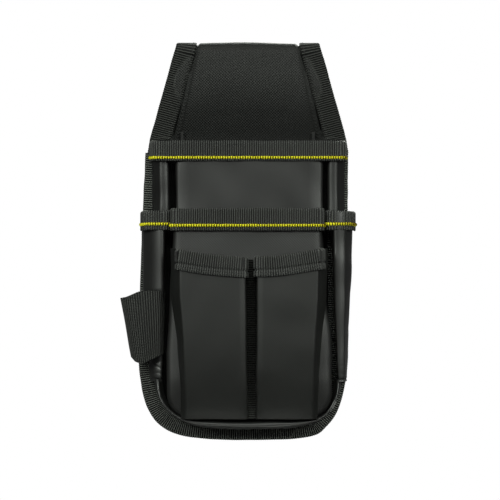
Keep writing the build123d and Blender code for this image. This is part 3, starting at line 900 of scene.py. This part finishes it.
def small_pocket(side, sign):
    """One of the two small front pockets, with its curved mouth, sewn hem and pinched base."""
    plan = LEFT_SMALL if sign < 0 else RIGHT_SMALL
    rows, cols, base = 110, 110, -230.4
    mouth = smooth(plan.mouth, 60)
    grid = np.zeros((rows, cols, 3))
    for i, t in enumerate(np.linspace(0, 1, rows)):
        level = -115.0 * (1 - t) + base * t
        edges = (plan.outer_front, plan.outer_base, plan.inner)
        front, foot, inner = (float(mix(keys, level)) for keys in edges)
        depth = SMALL_DEPTH - 4.5 * t**2 - 11.4 * t**5
        floor_depth = 24.6 - 2.5 * t**3
        corner = 1.6 + 1.6 * float(ease((-level - 140) / 60))
        if sign < 0:
            keys = [(foot, floor_depth), (front, depth - 0.6), (inner, depth), (inner, floor_depth)]
            radii = [corner, 1.0]
        else:
            keys = [(inner, floor_depth), (inner, depth), (front, depth - 0.6), (foot, floor_depth)]
            radii = [1.0, corner]
        section = rounded(keys, radii, cols)
        centre, half = (front + inner) / 2, abs(front - inner) / 2
        spread = np.clip(1 - ((section[:, 0] - centre) / half)**2, 0, 1)
        slope = 1.3 * np.clip(1 - np.abs(section[:, 0] - inner) / 5.0, 0, 1)**1.5
        section[:, 1] += (0.7 * spread - slope) * ease((section[:, 1] - floor_depth - 3) / 4)
        rim = np.interp(section[:, 0], mouth[:, 0], mouth[:, 1])
        grid[i] = at(section[:, 0], section[:, 1], rim * (1 - t) + base * t)
    grid += outward(grid) * rumple(grid, 0.22, 40, 101 + sign)[..., None]
    obj = shell(f"small_pocket_cloth_{side}", grid)
    place(obj, POCKET, nodes=[f"small_pocket_{side}"])
    small_band(side, sign, grid[1])


def small_band(side, sign, mouth):
    """The band along a small pocket's mouth, sewn down twice."""
    edge = evenly(mouth, 300)
    band_start = 38.5 if sign < 0 else 33.0
    edge = edge[edge[:, 1] < LINING_Y - band_start]
    path = np.stack([edge[:, 0], LINING_Y - edge[:, 1] - 0.4], axis=1)
    drop = SMALL.z1 - edge[:, 2]
    seam, seam_depth = 8.0, 1.2
    line, down, off = band(f"small_band_tape_{side}", path, SMALL.z1 + 0.8, [f"small_band_{side}"], 7 + sign,
                           12.2, 11.0, drop, (seam, seam_depth))
    lift = CLOTH / 2 + TAPE
    stitches(f"small_band_seam_{side}", line + down * seam + off * (lift - 1.0), off, THREAD)
    hem = line + down * 10.8 + off * (lift + 0.15)
    stitches(f"small_band_hem_{side}", hem, off, PALE_THREAD, stitch=0.8, gap=1.2, width=0.25)


def divider():
    """The tape down the groove between the two small pockets, bowed across its width."""
    z = np.linspace(SMALL.z1 - 7, SMALL.z0 - 0.4, 200)
    x = np.full_like(z, 2.3)
    depth = 27.0 + 0.6 * ease((-z - 118) / 20) - 4.0 * ease((-z - 185) / 45)
    path = fine(at(x, depth, z))
    across = np.tile([1.0, 0.0, 0.0], (len(path), 1))
    off = np.cross(across, heading(path))
    off *= np.sign(-off[:, 1:2])
    middle = np.stack([np.linspace(-4.2, 4.2, 11), 0.8 * np.cos(np.linspace(-1.4, 1.4, 11))], axis=1)
    loop, outside = tape_loop(middle[::-1])
    obj = sweep("divider", path, across, off, loop, ribs(path, outside, 0.12))
    place(obj, DARK_RIB, nodes=["divider_tape"])


# ---- rolled rim, loop and tacks

# The roll's inner and outer lines round the base, as X and Z from the left, and its height across, as shares.
RIM_INNER = [(-60.6, -203.0), (-60.4, -210.0), (-59.0, -216.5), (-55.6, -221.8), (-50.8, -225.9),
             (-44.0, -229.2), (-34.0, -230.9), (0.0, -231.6), (34.0, -231.0), (46.6, -229.8),
             (53.4, -226.8), (57.8, -222.2), (60.4, -217.0), (61.4, -210.0), (61.6, -203.0)]
RIM_OUTER = [(-66.0, -203.0), (-64.4, -211.0), (-60.8, -219.6), (-55.4, -226.4), (-47.4, -232.2),
             (-35.5, -236.4), (-18.0, -238.2), (0.0, -238.6), (18.0, -238.2), (33.2, -237.2),
             (47.2, -233.8), (55.6, -228.4), (61.8, -219.2), (65.0, -210.5), (65.8, -203.0)]
RIM_PROFILE = [(0.0, 0.84), (0.12, 0.92), (0.3, 0.985), (0.45, 1.0), (0.58, 0.96), (0.7, 0.83),
               (0.82, 0.58), (0.92, 0.28), (1.0, -0.06)]


def rolled_rim():
    """The padded strip that closes the lower pocket round its base."""
    count, across = 420, 30
    inner, outer = smooth(RIM_INNER, count), smooth(RIM_OUTER, count)
    profile = smooth(RIM_PROFILE, across)
    toward = profile[:, 0]
    share = np.linspace(0, 1, count)
    ends = ease(np.minimum(share, 1 - share) / 0.16)[:, None]
    height = 12.5 + 5.6 * ends
    depth = 1.8 + (height + 2.0) * profile[:, 1]
    x = inner[:, None, 0] * (1 - toward) + outer[:, None, 0] * toward
    z = inner[:, None, 1] * (1 - toward) + outer[:, None, 1] * toward
    lip = at(inner[:, 0] * 0.975, 11.5 + 2.0 * ends[:, 0], inner[:, 1] + 1.6)[:, None]
    grid = np.concatenate([lip, at(x, depth, z)], axis=1).transpose(1, 0, 2)
    grid = grid[:, ::-1] if outward(grid)[across // 2, count // 2, 1] > 0 else grid
    s = lengths(inner)[None]
    gather = np.exp(-((np.linspace(0, 1, across + 1)[:, None] - 0.85) / 0.2)**2)
    pucker = 0.16 * np.sin(s * 2 * math.pi / 6.0 + 1.3 * np.sin(s / 9)) * gather
    grid += outward(grid) * (rumple(grid, 0.22, 22, 111) + pucker)[..., None]
    obj = shell("rim_roll", grid, 1.2)
    place(obj, TUBED, nodes=["bottom_gusset"])


def loop_plan(left, right, depth, count):
    """The loop's webbing at one level, from behind the pouch's edge, round the front, into the groove."""
    angle = np.linspace(math.radians(196), math.radians(-8), count)
    cosine, sine = np.cos(angle), np.sin(angle)
    x = (left + right) / 2 + (right - left) / 2 * np.sign(cosine) * np.abs(cosine)**0.8
    lean = 0.5 + 0.5 * cosine
    rise = (depth - 3.0) * np.sign(sine) * np.abs(sine)**0.5 * (0.74 + 0.26 * lean)
    return np.stack([x, 3.0 + rise], axis=1)


def tool_loop():
    """The tapered webbing loop over the left tube, with ribs that run down it and close up."""
    rows, cols = 60, 460
    outer, inner = -80.9, -58.2
    top, low = loop_plan(-88.3, -58.0, 28.0, cols), loop_plan(outer, inner, 22.5, cols)
    upper = -141.4 - 5.0 * ease((-72 - top[:, 0]) / 17)
    across = (low[:, 0] - outer) / (inner - outer)
    lower = np.interp(across, [0.0, 0.12, 0.32, 0.6, 1.0], [-187.2, -190.6, -192.4, -189.2, -185.0])
    t = np.linspace(0, 1, rows)[:, None]
    section = top[None] * (1 - t[..., None]) + low[None] * t[..., None]
    grid = at(section[..., 0], section[..., 1], upper[None] * (1 - t) + lower[None] * t)
    turns = lengths(top) / (RIB * 1.2)
    ridge = (np.cos(turns * 2 * math.pi) * 0.5 + 0.5)**0.8
    grid += outward(grid) * (0.34 * ridge[None] + rumple(grid, 0.3, 30, 121))[..., None]
    u = np.repeat(turns[None] * RIB, rows, axis=0)
    uv = np.stack([u, cloth_uv(grid)[..., 1]], axis=-1)
    obj = shell("loop_webbing", grid, 1.6, uv=uv)
    place(obj, LOOSE_RIB, nodes=["tool_loop"])


def bar_tack(name, centre, along, off, length, body, nodes=()):
    """A short dense zigzag of thread."""
    across = np.cross(along, off)
    turns = 16
    points = []
    for i in range(turns + 1):
        swing = 0.75 if i % 2 else -1.1
        points.append(centre + along * (i / turns - 0.5) * length + across * swing)
    path = evenly(np.array(points), turns * 6)
    normal = np.tile(off, (len(path), 1)).astype(float)
    side = unit(np.cross(heading(path), normal))
    angle = full_turn(6)
    loop = np.stack([np.cos(angle), np.sin(angle)], axis=1) * 0.3
    return place(sweep(name, path, side, normal, loop), THREAD, body, nodes)


def tacks():
    """The bar tacks at the ends of the belt tunnel's seam and of the small pockets' bands."""
    down, front = np.array([0.0, 0.0, -1.0]), np.array([0.0, -1.0, 0.0])
    tunnel = span("tunnel_bar_tacks")
    for side, x in (("left", tunnel.x0 + 0.7), ("right", tunnel.x1 - 0.7)):
        centre = np.array([x, PANEL.y0 - CLOTH / 2 + 0.3, (tunnel.z0 + tunnel.z1) / 2 - 1])
        nodes = ["tunnel_bar_tacks"] if x < 0 else []
        bar_tack(f"tunnel_tack_{side}", centre, down, front, 6.0, HANGER, nodes)
    pocket = span("pocket_bar_tacks")
    places = [(pocket.x0 + 0.7, -117.4), (-3.4, -121.6), (8.4, -121.6), (pocket.x1 - 0.7, -117.4)]
    for i, (x, z) in enumerate(places):
        centre = at(x, LINING_Y - pocket.y0 - 1.2, z)
        nodes = ["pocket_bar_tacks"] if i == 0 else []
        bar_tack(f"pocket_tack_{i + 1}", centre, down, front, 7.0, BODY, nodes)


# ---- stage, light and camera

def soft_light(name, place_at, aim, wide, tall, power):
    """A rectangular softbox, in metres and watts, that faces `aim`."""
    data = bpy.data.lights.new(name, "AREA")
    data.shape = "RECTANGLE"
    data.size = wide
    data.size_y = tall
    data.energy = power
    data.color = (0.95, 1.0, 0.925)
    lamp = bpy.data.objects.new(name, data)
    lamp.location = place_at
    direction = np.array(aim) - np.array(place_at)
    lamp.rotation_mode = "QUATERNION"
    lamp.rotation_quaternion = Vector(direction).to_track_quat("-Z", "Y")
    bpy.context.scene.collection.objects.link(lamp)


def world():
    """White surroundings: pure white to the camera, and a soft fill from the front, the rear and above."""
    scene_world = bpy.data.worlds.new("studio")
    scene_world.use_nodes = True
    tree = scene_world.node_tree
    background = tree.nodes["Background"]
    _, y, z = separate(tree, tree.nodes.new("ShaderNodeTexCoord").outputs["Generated"])
    fore = math_node(tree, "POWER", math_node(tree, "ABSOLUTE", y), 3.0)
    lift = math_node(tree, "ADD", math_node(tree, "MULTIPLY", z, 1.6), 1.0)
    lift = math_node(tree, "MINIMUM", math_node(tree, "MAXIMUM", lift, 0.1), 1.2)
    fore = math_node(tree, "MULTIPLY", fore, lift)
    above = math_node(tree, "MAXIMUM", z, 0.0)
    level = math_node(tree, "ADD", weighted(tree, (fore, 0.105), (above, 0.12)), 0.025)
    seen = tree.nodes.new("ShaderNodeLightPath").outputs["Is Camera Ray"]
    tree.links.new(math_node(tree, "MAXIMUM", level, seen), background.inputs["Strength"])
    background.inputs["Color"].default_value = (1, 1, 1, 1)
    bpy.context.scene.world = scene_world


def floor():
    """A plain pale floor well below the hanging pouch, in rings so that it shades evenly."""
    height, radii, spokes = -1150.0, (120.0, 250.0, 380.0, 500.0), 64
    angle = full_turn(spokes)
    rings = [np.column_stack([r * np.cos(angle), r * np.sin(angle), np.full(spokes, height)]) for r in radii]
    points = np.vstack([[(0.0, 0.0, height)], *rings])
    faces = [[0, 1 + i, 1 + (i + 1) % spokes] for i in range(spokes)]
    faces += [face[::-1] for face in quads(len(radii), spokes, 1, around=True)]
    obj = make_mesh("studio_floor", points, faces)
    mat, tree, shader = nodes_of("pale_floor")
    cloudy = noise(tree, body_vector(tree), 3.0, 2)
    coloured(tree, shader, cloudy, [(0.3, (0.82, 0.82, 0.81)), (0.7, (0.87, 0.87, 0.86))])
    shader.inputs["Roughness"].default_value = 0.8
    obj.data.materials.append(mat)


def camera():
    """Straight in front, from far enough away that the view is nearly parallel."""
    distance, width = 3.0, 0.35
    data = bpy.data.cameras.new("camera")
    data.sensor_width = 36
    data.lens = 36 * distance / width
    data.clip_end = 50
    cam = bpy.data.objects.new("camera", data)
    cam.location = (0.00175, LINING_Y * 0.001 - distance, (PANEL.z1 + RIM.z0) / 2000 - 0.0053)
    cam.rotation_euler = (math.pi / 2, 0, 0)
    bpy.context.scene.collection.objects.link(cam)
    bpy.context.scene.camera = cam


def lighting():
    """Two tall keys from the front corners, weak fronts and tops, and a fill from behind."""
    middle = (0, 0, -0.11)
    for side, sign in SIDES:
        soft_light(f"{side}_key", (1.55 * sign, -1.85, 0.85), middle, 0.55, 0.9, 27)
    soft_light("front_softbox", (0, -2.4, 1.0), middle, 0.7, 0.5, 6)
    soft_light("top_softbox", (0, -0.9, 1.3), middle, 1.0, 0.6, 7)
    soft_light("rear_fill", (0.4, 2.2, 0.9), middle, 1.4, 1.4, 70)
    world()
    bpy.context.scene.view_settings.view_transform = "Standard"


def both(make):
    """Makes a piece on the left and on the right."""
    for side, sign in SIDES:
        make(side, sign)


def main():
    hanger_cloth()
    both(hanger_tape)
    back()
    perimeter_tape()
    upper_pocket()
    both(pleat)
    upper_band()
    lower_pocket()
    both(tube)
    lower_bands()
    both(small_pocket)
    divider()
    rolled_rim()
    tool_loop()
    tacks()
    bpy.data.objects["stiffener_board"].material_slots[0].material = BOARD
    floor()
    lighting()
    camera()


main()
